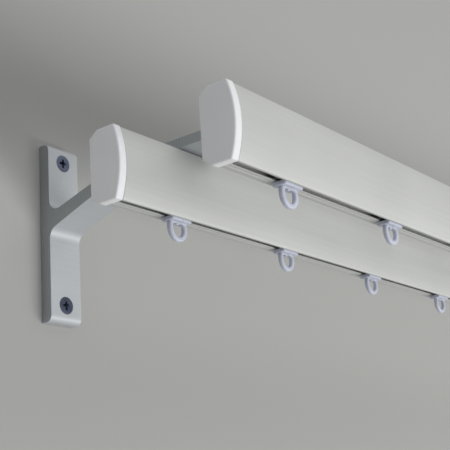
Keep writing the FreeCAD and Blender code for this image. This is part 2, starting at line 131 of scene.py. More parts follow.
def outward(outline):
    """Unit vector at each point of a closed outline, square to it and away from its inside."""
    along = np.roll(outline, -1, 0) - outline
    along /= np.linalg.norm(along, axis=1)[:, None]
    mean = along + np.roll(along, 1, 0)
    mean /= np.linalg.norm(mean, axis=1)[:, None]
    x, y = outline.T
    area = np.sum(x * np.roll(y, -1) - np.roll(x, -1) * y)
    return np.stack([mean[:, 1], -mean[:, 0]], -1) * np.sign(area)


def build(name, shells, sharp=35.0):
    """Mesh object from shells of (points in mm, faces): doubles merged, creases kept by angle."""
    points, faces, start = [], [], 0
    for shell_points, shell_faces in shells:
        points.append(np.asarray(shell_points, float).reshape(-1, 3))
        faces += [tuple(int(i) + start for i in face) for face in shell_faces]
        start += len(points[-1])
    mesh = bpy.data.meshes.new(name)
    mesh.from_pydata((np.concatenate(points) * MM).tolist(), [], faces)
    work = bmesh.new()
    work.from_mesh(mesh)
    bmesh.ops.remove_doubles(work, verts=work.verts, dist=2e-6)
    bmesh.ops.dissolve_degenerate(work, edges=work.edges, dist=1e-7)
    bmesh.ops.recalc_face_normals(work, faces=work.faces)
    work.to_mesh(mesh)
    work.free()
    mesh.polygons.foreach_set("use_smooth", np.ones(len(mesh.polygons), bool))
    mesh.set_sharp_from_angle(angle=math.radians(sharp))
    piece = bpy.data.objects.new(name, mesh)
    bpy.context.scene.collection.objects.link(piece)
    return piece


def moulded(outline, bottom, top, rounding=0.3, steps=3):
    """Block with soft edges: at both ends the outline draws in by a quarter circle as it climbs."""
    inward = -outward(outline)
    turn = np.linspace(0, math.pi / 2, steps + 1)
    inset = rounding * (1 - np.sin(turn))
    rise = rounding * (1 - np.cos(turn))
    insets = np.concatenate([inset, inset[::-1]])
    heights = np.concatenate([bottom + rise, top - rise[::-1]])
    rings = outline[None] + insets[:, None, None] * inward[None]
    levels = np.broadcast_to(heights[:, None, None], rings.shape[:2] + (1,))
    points = np.concatenate([rings, levels], -1)
    return points.reshape(-1, 3), lidded_faces(len(heights), len(outline))


def lie_along_x(shell):
    """Lays a block along X that was drawn in (depth, height) and raised from there."""
    points, faces = shell
    return np.stack([points[:, 2], -points[:, 0], points[:, 1]], -1), faces


def move(shell, x=0.0, y=0.0, z=0.0):
    """The same shell at another place."""
    return shell[0] + np.array([x, y, z]), shell[1]


def rectangle(left, right, bottom, top, radius):
    """Outline of a rectangle whose four corners have the same radius."""
    return round_corners([(x, y, radius) for x, y in
                          ((left, bottom), (right, bottom), (right, top), (left, top))])


def finish_piece(piece, body, slot, material, *nodes):
    """Puts a piece on its body, gives it its material, and hides the solids that it stands for."""
    piece.data.materials.append(material)
    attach(piece, body)
    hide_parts(*nodes)


# %% [markdown]
# ## Colours and nodes
# Screens show sRGB, while Blender mixes light in linear numbers, so one function translates the hex
# codes. Another adds a shader node and plugs in whatever it is given. A Mix node has inputs and an
# output for each kind of value, under the same names, so those for colours are told by number.

# %% Colour and node helpers
MIX_A, MIX_B, MIXED = 6, 7, 2


def linear(code, alpha=1.0):
    """sRGB hex code as linear red, green and blue."""
    srgb = np.array([int(code[i:i + 2], 16) for i in (1, 3, 5)]) / 255
    value = np.where(srgb <= 0.04045, srgb / 12.92, ((srgb + 0.055) / 1.055) ** 2.4)
    return (*value.tolist(), alpha)


def add(tree, kind, inputs=None, **settings):
    """Adds a node: settings are its attributes, inputs are values or the sockets that feed it."""
    node = tree.nodes.new(kind)
    for name, value in settings.items():
        setattr(node, name, value)
    for name, value in (inputs or {}).items():
        if isinstance(value, bpy.types.NodeSocket):
            tree.links.new(value, node.inputs[name])
        else:
            node.inputs[name].default_value = value
    return node


def new_material(name):
    """Empty node material and its node tree, which the finish fills."""
    material = bpy.data.materials.new(name)
    material.use_nodes = True
    material.node_tree.nodes.clear()
    return material, material.node_tree


# %% [markdown]
# ## Anodised aluminium
# The rails and brackets are aluminium pushed through a die, etched and then anodised. The etch and
# the clear oxide on top scatter most of the light, so the skin looks almost like pale grey paint
# and only a small part of it mirrors the room: the shader is metallic by three tenths. The die
# leaves faint lines along the extrusion. Real ones are about 0.2 mm apart. They are drawn up to
# 0.9 mm apart, so that they still show in a picture of the whole track.

# %% Finish: satin anodised extrusion
def anodised(name, dark, light, line_gap=0.9, cloud_size=55.0, grain=0.05):
    """Satin anodised aluminium: die lines along X and the faint clouds of an etched surface."""
    material, tree = new_material(name)
    place = add(tree, "ShaderNodeTexCoord").outputs["Object"]
    along = add(tree, "ShaderNodeMapping",
                {"Vector": place, "Scale": (6.0, 1 / (line_gap * MM), 1 / (line_gap * MM))})
    lines = add(tree, "ShaderNodeTexNoise",
                {"Vector": along.outputs["Vector"], "Scale": 1.0, "Detail": 3.0, "Roughness": 0.6})
    clouds = add(tree, "ShaderNodeTexNoise",
                 {"Vector": place, "Scale": 1 / (cloud_size * MM), "Detail": 2.0, "Roughness": 0.5})
    mixed = add(tree, "ShaderNodeMath", {0: lines.outputs["Fac"], 1: clouds.outputs["Fac"]},
                operation="ADD")
    share = add(tree, "ShaderNodeMapRange",
                {"Value": mixed.outputs[0], "From Min": 0.7, "From Max": 1.3,
                 "To Min": 0.0, "To Max": 1.0})
    colour = add(tree, "ShaderNodeMix",
                 {"Factor": share.outputs[0], MIX_A: linear(dark), MIX_B: linear(light)},
                 data_type="RGBA")
    rough = add(tree, "ShaderNodeMapRange",
                {"Value": lines.outputs["Fac"], "From Min": 0.3, "From Max": 0.7,
                 "To Min": 0.52, "To Max": 0.62})
    bump = add(tree, "ShaderNodeBump",
               {"Height": lines.outputs["Fac"], "Strength": grain, "Distance": 0.05 * MM})
    shader = add(tree, "ShaderNodeBsdfPrincipled",
                 {"Base Color": colour.outputs[MIXED], "Metallic": 0.3,
                  "Roughness": rough.outputs[0], "Normal": bump.outputs[0]})
    add(tree, "ShaderNodeOutputMaterial", {"Surface": shader.outputs[0]})
    return material


rail_finish = anodised("satin_anodised_rail", "#BDBEBC", "#C6C7C5")
bracket_finish = anodised("satin_anodised_bracket", "#B5B9BD", "#BEC2C6", line_gap=0.7)

# %% [markdown]
# ## Sawn aluminium
# The brackets are slices of a long extrusion. The saw leaves shallow arcs of its blade on both cut
# faces, which look darker than the etched skin. A ring-shaped wave centred a blade's radius away
# draws them, and a little noise keeps the arcs from being perfect.

# %% Finish: sawn face
# Blender's wave repeats at this distance in metres when its scale is 1.
WAVE_LENGTH = math.tau / 20


def sawn(name, dark, light, blade_radius=200.0, mark_gap=1.6):
    """Bare sawn aluminium: arcs of the saw blade, wobbling slightly, on a duller metal."""
    material, tree = new_material(name)
    place = add(tree, "ShaderNodeTexCoord").outputs["Object"]
    centred = add(tree, "ShaderNodeMapping",
                  {"Vector": place, "Location": (0.0, -blade_radius * MM, 0.0)})
    marks = add(tree, "ShaderNodeTexWave",
                {"Vector": centred.outputs["Vector"], "Scale": WAVE_LENGTH / (mark_gap * MM),
                 "Distortion": 1.5, "Detail": 2.0, "Detail Scale": 1.2},
                wave_type="RINGS", rings_direction="X")
    specks = add(tree, "ShaderNodeTexNoise",
                 {"Vector": place, "Scale": 1 / (2.5 * MM), "Detail": 3.0, "Roughness": 0.6})
    share = add(tree, "ShaderNodeMath", {0: marks.outputs["Fac"], 1: specks.outputs["Fac"]},
                operation="MULTIPLY")
    colour = add(tree, "ShaderNodeMix",
                 {"Factor": share.outputs[0], MIX_A: linear(dark), MIX_B: linear(light)},
                 data_type="RGBA")
    rough = add(tree, "ShaderNodeMapRange",
                {"Value": specks.outputs["Fac"], "From Min": 0.3, "From Max": 0.7,
                 "To Min": 0.42, "To Max": 0.56})
    bump = add(tree, "ShaderNodeBump",
               {"Height": marks.outputs["Fac"], "Strength": 0.12, "Distance": 0.05 * MM})
    shader = add(tree, "ShaderNodeBsdfPrincipled",
                 {"Base Color": colour.outputs[MIXED], "Metallic": 1.0,
                  "Roughness": rough.outputs[0], "Normal": bump.outputs[0]})
    add(tree, "ShaderNodeOutputMaterial", {"Surface": shader.outputs[0]})
    return material


sawn_finish = sawn("sawn_aluminium_face", "#A9ADB2", "#BDC1C6")

# %% [markdown]
# ## Moulded plastics
# The end caps are injection-moulded ABS from a spark-eroded mould: white, satin and very finely
# pitted. The gliders are acetal, a milky plastic that lets a little light through, which turns its
# shadows soft and slightly cool. Both start from the refractive index of the plastic.

# %% Finish: moulded cap and milky glider
def moulded_abs(name, dark, light):
    """White ABS with the pits of a spark-eroded mould, drawn 0.4 mm apart so that they show."""
    material, tree = new_material(name)
    place = add(tree, "ShaderNodeTexCoord").outputs["Object"]
    pits = add(tree, "ShaderNodeTexNoise",
               {"Vector": place, "Scale": 1 / (0.4 * MM), "Detail": 2.0, "Roughness": 0.5})
    flow = add(tree, "ShaderNodeTexNoise",
               {"Vector": place, "Scale": 1 / (18 * MM), "Detail": 1.0, "Roughness": 0.4})
    colour = add(tree, "ShaderNodeMix",
                 {"Factor": flow.outputs["Fac"], MIX_A: linear(dark), MIX_B: linear(light)},
                 data_type="RGBA")
    rough = add(tree, "ShaderNodeMapRange",
                {"Value": pits.outputs["Fac"], "From Min": 0.3, "From Max": 0.7,
                 "To Min": 0.42, "To Max": 0.54})
    bump = add(tree, "ShaderNodeBump",
               {"Height": pits.outputs["Fac"], "Strength": 0.08, "Distance": 0.05 * MM})
    shader = add(tree, "ShaderNodeBsdfPrincipled",
                 {"Base Color": colour.outputs[MIXED], "Roughness": rough.outputs[0], "IOR": 1.53,
                  "Normal": bump.outputs[0]})
    add(tree, "ShaderNodeOutputMaterial", {"Surface": shader.outputs[0]})
    return material


def milky_acetal(name, dark, light):
    """Acetal: glossy from a polished mould, and light goes about a millimetre deep into it."""
    material, tree = new_material(name)
    place = add(tree, "ShaderNodeTexCoord").outputs["Object"]
    flow = add(tree, "ShaderNodeTexNoise",
               {"Vector": place, "Scale": 1 / (4 * MM), "Detail": 2.0, "Roughness": 0.5})
    colour = add(tree, "ShaderNodeMix",
                 {"Factor": flow.outputs["Fac"], MIX_A: linear(dark), MIX_B: linear(light)},
                 data_type="RGBA")
    rough = add(tree, "ShaderNodeMapRange",
                {"Value": flow.outputs["Fac"], "From Min": 0.3, "From Max": 0.7,
                 "To Min": 0.26, "To Max": 0.36})
    shader = add(tree, "ShaderNodeBsdfPrincipled",
                 {"Base Color": colour.outputs[MIXED], "Roughness": rough.outputs[0], "IOR": 1.48,
                  "Subsurface Weight": 0.35, "Subsurface Radius": (1.0, 1.0, 1.2),
                  "Subsurface Scale": 1.0 * MM})
    add(tree, "ShaderNodeOutputMaterial", {"Surface": shader.outputs[0]})
    return material


cap_finish = moulded_abs("moulded_white_abs", "#E7E7EA", "#EDEDF0")
glider_finish = milky_acetal("milky_acetal", "#B9BDCD", "#CCD0DE")

# %% [markdown]
# ## Blue zinc plating
# The wall screws are steel with a blue-passivated zinc coat. It is a thin bright metal whose tint
# wanders between blue and grey from place to place, so a soft noise drives its colour.

# %% Finish: blue zinc
def blue_zinc(name, dark, light):
    """Zinc-plated steel, its blue passivation unevenly strong over spots of about 1.5 mm."""
    material, tree = new_material(name)
    place = add(tree, "ShaderNodeTexCoord").outputs["Object"]
    patches = add(tree, "ShaderNodeTexNoise",
                  {"Vector": place, "Scale": 1 / (1.5 * MM), "Detail": 3.0, "Roughness": 0.55})
    colour = add(tree, "ShaderNodeMix",
                 {"Factor": patches.outputs["Fac"], MIX_A: linear(dark), MIX_B: linear(light)},
                 data_type="RGBA")
    rough = add(tree, "ShaderNodeMapRange",
                {"Value": patches.outputs["Fac"], "From Min": 0.3, "From Max": 0.7,
                 "To Min": 0.40, "To Max": 0.52})
    bump = add(tree, "ShaderNodeBump",
               {"Height": patches.outputs["Fac"], "Strength": 0.1, "Distance": 0.05 * MM})
    shader = add(tree, "ShaderNodeBsdfPrincipled",
                 {"Base Color": colour.outputs[MIXED], "Metallic": 1.0,
                  "Roughness": rough.outputs[0], "Normal": bump.outputs[0]})
    add(tree, "ShaderNodeOutputMaterial", {"Surface": shader.outputs[0]})
    return material


zinc_finish = blue_zinc("blue_passivated_zinc", "#434A5D", "#6C7388")

# %% [markdown]
# ## The rails
# A rail is one profile carried along a straight line, exactly as the die makes it. The profile has
# the bowed front, the two back chamfers, the channel for the gliders underneath and the groove for
# the bracket's foot on top. Sharp extrusion corners do not exist, so each one gets a small arc, and
# the lips thin towards the slot, which leaves the slot dark when it is looked at from below.

# %% Rail profile
def fascia(height, inset):
    """Depth of the bowed front at some heights: an arc through the front's two ends and its bulge.

    No inset gives the cap's front, the cap's overhang the rail's, and more the inside of its wall.
    """
    middle = SECTION_HEIGHT / 2
    overhang = min(inset, CAP_OVERHANG)
    centre = SECTION_DEPTH - overhang - math.sqrt(FASCIA_RADIUS ** 2 - (middle - overhang) ** 2)
    radius = FASCIA_RADIUS - (inset - overhang)
    return centre + np.sqrt(radius ** 2 - (height - middle) ** 2)


def rail_outline():
    """Outer edge of the rail's profile by its corners, with a fine V-groove under the rear lip."""
    low, high = CAP_OVERHANG, SECTION_HEIGHT - CAP_OVERHANG
    heel = low + CHAMFER_DEPTH * (1 - (LIP_UNDERSIDE - low) / CHAMFER_HEIGHT)
    front = SECTION_DEPTH - low
    lip_inner = front - RAIL_WALL
    mouth, cavity, middle = GROOVE_MOUTH, GROOVE_CAVITY, GROOVE_CENTRE
    bow = np.linspace(high, low, 25)[1:-1]
    edge, soft, crisp, bevel = 0.25, 0.2, 0.1, 0.8
    vee, vee_half, vee_depth, vee_round = 5.5, 0.2, 0.25, 0.05
    corners = [(low, low + CHAMFER_HEIGHT, edge), (low, high - CHAMFER_HEIGHT, edge),
               (low + CHAMFER_DEPTH, high, edge),
               (middle - mouth, high, soft), (middle - mouth, GROOVE_ROOF, soft),
               (middle - cavity, GROOVE_ROOF, crisp), (middle - cavity, GROOVE_FLOOR, crisp),
               (middle + cavity, GROOVE_FLOOR, crisp), (middle + cavity, GROOVE_ROOF, crisp),
               (middle + mouth, GROOVE_ROOF, soft), (middle + mouth, high, soft),
               (front, high, 2 * soft)]
    corners += [(float(fascia(height, low)), float(height), 0.0) for height in bow]
    corners += [(front, low, 2 * soft), (lip_inner, low, edge), (lip_inner, LIP_UNDERSIDE, crisp),
                (SLOT_FRONT, LIP_UNDERSIDE, 1.5 * crisp),
                (SLOT_FRONT, CHANNEL_FLOOR - bevel, crisp),
                (SLOT_FRONT + bevel, CHANNEL_FLOOR, crisp),
                (CHANNEL_FRONT, CHANNEL_FLOOR, crisp), (CHANNEL_FRONT, CHANNEL_ROOF, soft),
                (CHANNEL_BACK, CHANNEL_ROOF, soft), (CHANNEL_BACK, CHANNEL_FLOOR, crisp),
                (SLOT_BACK - bevel, CHANNEL_FLOOR, crisp),
                (SLOT_BACK, CHANNEL_FLOOR - bevel, crisp),
                (SLOT_BACK, LIP_UNDERSIDE, 1.5 * crisp),
                (vee + vee_half, LIP_UNDERSIDE, vee_round),
                (vee, LIP_UNDERSIDE + vee_depth, vee_round),
                (vee - vee_half, LIP_UNDERSIDE, vee_round), (heel, LIP_UNDERSIDE, edge)]
    return round_corners(corners, steps=3)


def chamber_outline(corner=0.3):
    """Inner edge of the closed chamber between the channel and the groove."""
    inset = CAP_OVERHANG + RAIL_WALL
    bottom, top = CHANNEL_ROOF + RAIL_WALL, GROOVE_FLOOR - RAIL_WALL
    corners = [(inset, top, corner), (inset, bottom, corner)]
    corners += [(float(fascia(height, inset)), float(height), 0.0)
                for height in np.linspace(bottom, top, 13)]
    return round_corners(corners, steps=2)


def carried(outline, stations):
    """Grid of one outline repeated at places along X: depth runs to -Y and height to Z."""
    flat = np.stack([np.zeros(len(outline)), -outline[:, 0], outline[:, 1]], -1)
    shift = np.zeros((len(stations), 1, 3))
    shift[:, 0, 0] = stations
    return (flat[None] + shift).reshape(-1, 3), grid_faces(len(stations), len(outline))


def ring_end(outer, inner, x):
    """Flat end of the rail: triangles fill it between the outer outline and the chamber's."""
    loops = [[Vector((p[0], p[1], 0)) for p in loop] for loop in (outer, inner)]
    triangles = tessellate_polygon(loops)
    flat = np.concatenate([outer, inner])
    points = np.stack([np.full(len(flat), x), -flat[:, 0], flat[:, 1]], -1)
    return points, [tuple(t) for t in triangles]


# %% Make both rails
SEAM, STATIONS = 0.45, 9
outer, inner = rail_outline(), chamber_outline()
stations = np.linspace(rail_end + SEAM, -rail_end - SEAM, STATIONS)
for rail, place in rails.items():
    shells = [carried(outer, stations), carried(inner, stations),
              ring_end(outer, inner, stations[0]), ring_end(outer, inner, stations[-1])]
    shells = [move(shell, y=place["back"], z=place["bottom"]) for shell in shells]
    piece = build(f"{rail}_rail_extrusion", shells, sharp=28)
    finish_piece(piece, "track", "rail_aluminium", rail_finish, f"{rail}_rail")
    print(piece.name, len(piece.data.polygons), "faces")

# %% [markdown]
# ## The end caps
# Each cap is a moulded plate of the rail's full section with two plugs that push into the rail. The
# plate stands 0.3 mm proud all round, and its outer edge is softly rounded, which gives the bright
# line that makes the ends of the track easy to read.

# %% Make the four caps
def cap_outline(back_round=0.9, front_round=0.8):
    """Full section: chamfered back, bowed front, and corners rounded as the mould leaves them."""
    bow = np.linspace(SECTION_HEIGHT, 0.0, 25)[1:-1]
    corners = [(0.0, CHAMFER_HEIGHT, back_round),
               (0.0, SECTION_HEIGHT - CHAMFER_HEIGHT, back_round),
               (CHAMFER_DEPTH, SECTION_HEIGHT, back_round),
               (SECTION_DEPTH, SECTION_HEIGHT, front_round)]
    corners += [(float(fascia(height, 0.0)), float(height), 0.0) for height in bow]
    corners += [(SECTION_DEPTH, 0.0, front_round), (CHAMFER_DEPTH, 0.0, back_round)]
    return round_corners(corners, steps=5)


def cap_plate(outline, thickness, outer_round=0.8, inner_round=0.25, steps=5):
    """The plate, raised from its inner face at 0: a quarter circle draws in its outer edge."""
    inward = -outward(outline)
    turn = np.linspace(0, math.pi / 2, steps + 1)
    insets = np.concatenate([[inner_round, 0.0], outer_round * (1 - np.cos(turn))])
    levels = np.concatenate([[0.0, inner_round], thickness - outer_round * (1 - np.sin(turn))])
    rings = outline[None] + insets[:, None, None] * inward[None]
    heights = np.broadcast_to(levels[:, None, None], rings.shape[:2] + (1,))
    points = np.concatenate([rings, heights], -1)
    return points.reshape(-1, 3), lidded_faces(len(levels), len(outline))


plate = cap_plate(cap_outline(), CAP_THICKNESS)
SUNK = 0.3
chamber_back = CAP_OVERHANG + RAIL_WALL
chamber_front = float(fascia(GROOVE_FLOOR - RAIL_WALL, chamber_back))
plug = moulded(rectangle(chamber_back + SPIGOT_GAP, chamber_front - SPIGOT_GAP,
                         CHANNEL_ROOF + RAIL_WALL + SPIGOT_GAP,
                         GROOVE_FLOOR - RAIL_WALL - SPIGOT_GAP, radius=0.5), -SPIGOT_LENGTH, SUNK)
stop = moulded(rectangle(CHANNEL_BACK + SPIGOT_GAP, CHANNEL_FRONT - SPIGOT_GAP,
                         CHANNEL_FLOOR + SPIGOT_GAP, CHANNEL_ROOF - SPIGOT_GAP, radius=0.3),
               -SPIGOT_LENGTH, SUNK)
for rail, place in rails.items():
    for side, sign in (("left", -1), ("right", 1)):
        shells = [lie_along_x(shell) for shell in (plate, plug, stop)]
        shells = [(points * np.array([sign, 1, 1]), faces) for points, faces in shells]
        seat = {"x": -rail_end * sign, "y": place["back"], "z": place["bottom"]}
        shells = [move(shell, **seat) for shell in shells]
        piece = build(f"{rail}_{side}_moulded_cap", shells, sharp=50)
        finish_piece(piece, "track", "cap_plastic", cap_finish, f"{rail}_{side}_end_cap")
print("cap", len(piece.data.polygons), "faces")

# %% [markdown]
# ## The brackets
# A bracket is a slice of an extrusion: wall plate, tapering strut, level arm and two feet that hang
# in the rails' grooves. The profile is carried across the slice, the sawn edges are broken by a
# hair, and cutters of the real drill shapes take out the countersunk and the tapped holes.

# %% Bracket profile and holes
def bracket_outline():
    """Profile of the bracket in distance from the wall and height, with the real inside corners."""
    low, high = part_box("left_bracket")
    bottom, top, end = low.z / MM, high.z / MM, -low.y / MM
    arm_low, arm_high = bottom + ARM_LOW, bottom + ARM_LOW + ARM_THICKNESS
    foot_top, foot_low = arm_low - FOOT_DROP, arm_low - FOOT_DROP - FOOT_HEIGHT
    hair, soft, nose, plate_edge, root_low, root_high, bend = 0.2, 0.3, 1.0, 3.5, 6.0, 5.5, 8.0
    corners = [(0.0, bottom, hair), (PLATE_THICKNESS, bottom, plate_edge),
               (PLATE_THICKNESS, bottom + STRUT_LOW, root_low), (BEND_LOW, arm_low, bend)]
    for reach in FOOT_REACHES:
        neck_back, neck_front = reach - FOOT_NECK_HALF, reach + FOOT_NECK_HALF
        foot_back, foot_front = reach - FOOT_HALF, reach + FOOT_HALF
        corners += [(neck_back, arm_low, soft), (neck_back, foot_top, hair),
                    (foot_back, foot_top, hair), (foot_back, foot_low, soft),
                    (foot_front, foot_low, soft), (foot_front, foot_top, hair),
                    (neck_front, foot_top, hair), (neck_front, arm_low, soft)]
    corners += [(end, arm_low, hair), (end, arm_low + NOSE_RIM, hair),
                (end - NOSE_SLOPE, arm_high, nose), (BEND_HIGH, arm_high, bend),
                (PLATE_THICKNESS, bottom + STRUT_HIGH, root_high),
                (PLATE_THICKNESS, top, plate_edge), (0.0, top, hair)]
    return round_corners(corners, steps=8)


def revolved(profile, turns=64):
    """Surface of revolution about +Y: each (distance along Y, radius) becomes a ring."""
    angle = np.linspace(0, math.tau, turns, endpoint=False)
    along, radius = np.array(profile, float).T
    level = np.broadcast_to(along[:, None], (len(along), turns))
    points = np.stack([radius[:, None] * np.cos(angle), level, radius[:, None] * np.sin(angle)], -1)
    return points.reshape(-1, 3), grid_faces(len(along), turns)


def upright(shell):
    """The same surface turned about +Z in place of +Y."""
    return shell[0][:, [0, 2, 1]] * np.array([1, 1, -1]), shell[1]


def drill(piece, cutter):
    """Takes a cutter's shape out of a piece for good."""
    cut = piece.modifiers.new("drilled", "BOOLEAN")
    cut.operation, cut.object, cut.solver = "DIFFERENCE", cutter, "EXACT"
    evaluated = piece.evaluated_get(bpy.context.evaluated_depsgraph_get())
    drilled = bpy.data.meshes.new_from_object(evaluated)
    piece.modifiers.clear()
    old, piece.data = piece.data, drilled
    bpy.data.meshes.remove(old)
    mesh = cutter.data
    bpy.data.objects.remove(cutter)
    bpy.data.meshes.remove(mesh)


# %% Make both brackets
# The cutters reach past the surfaces that they cut. A tapped hole runs through foot and arm.
EDGE, CUT_PAST, HEAD_GAP, HOLE_RADIUS, CREASE = 0.15, 2.0, 0.05, 2.5, 28.0
TAP_RADIUS, TAP_LOW, TAP_HIGH = 1.55, 5.0, 30.0
mouth = HEAD_RADIUS + HEAD_GAP
cone_end = mouth - PLATE_THICKNESS - HOLE_RADIUS
countersink = revolved([(-PLATE_THICKNESS - CUT_PAST, 0),
                        (-PLATE_THICKNESS - CUT_PAST, mouth + CUT_PAST),
                        (-PLATE_THICKNESS, mouth), (cone_end, HOLE_RADIUS),
                        (CUT_PAST, HOLE_RADIUS), (CUT_PAST, 0)])
tapped = upright(revolved([(-TAP_HIGH, 0), (-TAP_HIGH, TAP_RADIUS), (-TAP_LOW, TAP_RADIUS),
                           (-TAP_LOW, 0)], turns=40))
profile = bracket_outline()
half_width = BRACKET_WIDTH / 2
for side in ("left", "right"):
    low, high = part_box(f"{side}_bracket")
    centre = (low.x + high.x) / 2 / MM
    inward = -outward(profile)
    stations = np.array([-half_width, EDGE - half_width, half_width - EDGE, half_width])
    insets = np.array([EDGE, 0.0, 0.0, EDGE])
    rings = profile[None] + insets[:, None, None] * inward[None]
    across = np.broadcast_to(stations[:, None], rings.shape[:2])
    points = np.stack([across, -rings[..., 0], rings[..., 1]], -1)
    slice_shell = (points.reshape(-1, 3), lidded_faces(len(stations), len(profile)))
    piece = build(f"{side}_bracket_slice", [move(slice_shell, x=centre)])
    cuts = [move(countersink, x=centre, z=z) for z in (SCREW_PITCH / 2, -SCREW_PITCH / 2)]
    cuts += [move(tapped, x=centre, y=-reach) for reach in FOOT_REACHES]
    for cut in cuts:
        drill(piece, build("cutter", [cut]))
    mesh = piece.data
    mesh.polygons.foreach_set("use_smooth", np.ones(len(mesh.polygons), bool))
    mesh.set_sharp_from_angle(angle=math.radians(CREASE))
    finish_piece(piece, "track", "bracket_aluminium", bracket_finish, f"{side}_bracket")
    mesh.materials.append(sawn_finish)
    normals = np.zeros(len(mesh.polygons) * 3)
    mesh.polygons.foreach_get("normal", normals)
    is_sawn = np.abs(normals.reshape(-1, 3)[:, 0]) > 0.9
    mesh.polygons.foreach_set("material_index", is_sawn.astype(np.int32))
    print(piece.name, len(mesh.polygons), "faces,", int(is_sawn.sum()), "sawn")

# %% [markdown]
# ## The wall screws
# A countersunk chipboard screw: a flat head with a cross recess, a smooth neck, and a sharp thread
# on a thinner core that runs out to a point. The body is a surface of revolution, the recess is a
# star-shaped ring that sinks into the head, and the thread is a small ridge wound round the core.

# %% Screw shapes
# The recess is a cross of wide arms with four narrow notches between them. Each pair of numbers is
# a distance from the head's face and the radius there, which RECESS gives as a share of the cross.
CROSS_HALF, CROSS_REACH, NOTCH_HALF, NOTCH_REACH = 0.62, 2.3, 0.22, 1.35
RECESS = [(2.3, 0.0), (2.1, 0.42), (0.25, 0.93), (0.0, 1.0)]
HEAD = [(0.0, 3.2), (0.0, 4.1), (0.06, HEAD_RADIUS - 0.2), (0.3, HEAD_RADIUS - 0.3),
        (HEAD_RADIUS - NECK_RADIUS - 0.1, NECK_RADIUS), (6.3, NECK_RADIUS)]
CORE = [(7.2, 1.45), (31.0, 1.45), (36.0, 0.85), (39.1, 0.2)]
TIP = SCREW_LENGTH - 0.3


def star_radius(angle, half_width, reach):
    """Distance from the middle to the edge of a plus sign, by its arms' half width and reach."""
    folded = np.abs((angle + math.pi / 4) % (math.pi / 2) - math.pi / 4)
    tip = reach / np.cos(folded)
    side = half_width / np.maximum(np.sin(folded), 1e-9)
    return np.minimum(tip, side)


def recess_angles():
    """Angles round the head, with extra ones at the corners of the recess."""
    corner = math.atan(CROSS_HALF / CROSS_REACH)
    octant = np.concatenate([np.linspace(0, corner, 4), np.linspace(corner, math.pi / 4, 6)[1:]])
    quarter = np.concatenate([octant, (math.pi / 2 - octant[::-1])[1:-1]])
    return np.concatenate([quarter + math.pi / 2 * k for k in range(4)])


def screw_body():
    """Rings from the recess's bottom out over the head, down its cone and along the core."""
    angle = recess_angles()
    cross = np.maximum(star_radius(angle, CROSS_HALF, CROSS_REACH),
                       star_radius(angle + math.pi / 4, NOTCH_HALF, NOTCH_REACH))
    rings = [(along, share * cross) for along, share in RECESS]
    rings += [(along, np.full(len(angle), radius)) for along, radius in HEAD + CORE + [(TIP, 0.0)]]
    points = np.stack([
        np.stack([radius * np.cos(angle), np.full(len(angle), along), radius * np.sin(angle)], -1)
        for along, radius in rings])
    return points.reshape(-1, 3), grid_faces(len(rings), len(angle))


def screw_thread(pitch=2.2, start=6.9, end=38.6, steps=36):
    """Ridge wound round the core: it grows from nothing, holds, and fades with the point."""
    turns = (end - start) / pitch
    t = np.linspace(0, turns * math.tau, int(turns * steps))
    along = start + t / math.tau * pitch
    core = np.interp(along, *zip(*CORE))
    crest = np.interp(along, [start, start + 1.5, 32.5, end],
                      [1.4, THREAD_RADIUS, THREAD_RADIUS, 0.5])
    foot = np.interp(along, [start, start + 1.5, 34.0, end], [0.05, 0.55, 0.5, 0.1])
    sunk, edge = core - 0.15, np.full(len(t), 0.04)
    across = [(sunk, -foot), (crest, -edge), (crest, edge), (sunk, foot)]
    points = np.stack([np.stack([radius * np.cos(t), along + side, radius * np.sin(t)], -1)
                       for radius, side in across], 1)
    return points.reshape(-1, 3), lidded_faces(len(t), len(across))


# %% Make the four wall screws
for side in ("left", "right"):
    for level, sign in (("upper", 1), ("lower", -1)):
        low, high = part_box(f"{side}_{level}_wall_screw")
        seat = {"x": (low.x + high.x) / 2 / MM, "y": low.y / MM, "z": (low.z + high.z) / 2 / MM}
        shells = [move(screw_body(), **seat), move(screw_thread(), **seat)]
        piece = build(f"{side}_{level}_countersunk_screw", shells, sharp=30)
        finish_piece(piece, "track", "zinc_steel", zinc_finish, f"{side}_{level}_wall_screw")
print("screw", len(piece.data.polygons), "faces")

# %% [markdown]
# ## The locking screws
# They run down through the arm and its feet and press on the floors of the rails' grooves. Only
# their tops show, and their solids already have the hexagon socket, so they keep their own meshes
# and only get the plated finish.

# %% Plate the locking screws
for name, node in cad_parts.items():
    if name.endswith("set_screw"):
        node.data.materials.clear()
        node.data.materials.append(zinc_finish)

# %% [markdown]
# ## The gliders
# A glider is one moulding: a head that runs in the channel, a stem in the slot, a collar under the
# lips, and the eye for the curtain hook. The eye is a rounded bar swept round a loop that is
# straight under the collar and a half circle below. One is worked out and then set at each place.

# %% Glider shapes
def eye_path(half=4.8, top=1.2, turn=-2.5, corner=2.6, steps=28):
    """Middle line of the eye in X and Z: a half circle below, two legs, and a flat top."""
    low = np.linspace(math.pi, math.tau, steps)
    bottom = np.stack([half * np.cos(low), turn + half * np.sin(low)], -1)
    arc = np.linspace(0, math.pi / 2, 7)
    centre = np.array([half - corner, top - corner])
    right = centre + corner * np.stack([np.cos(arc), np.sin(arc)], -1)
    left = right[::-1] * np.array([-1, 1])
    return np.concatenate([bottom, right, left])


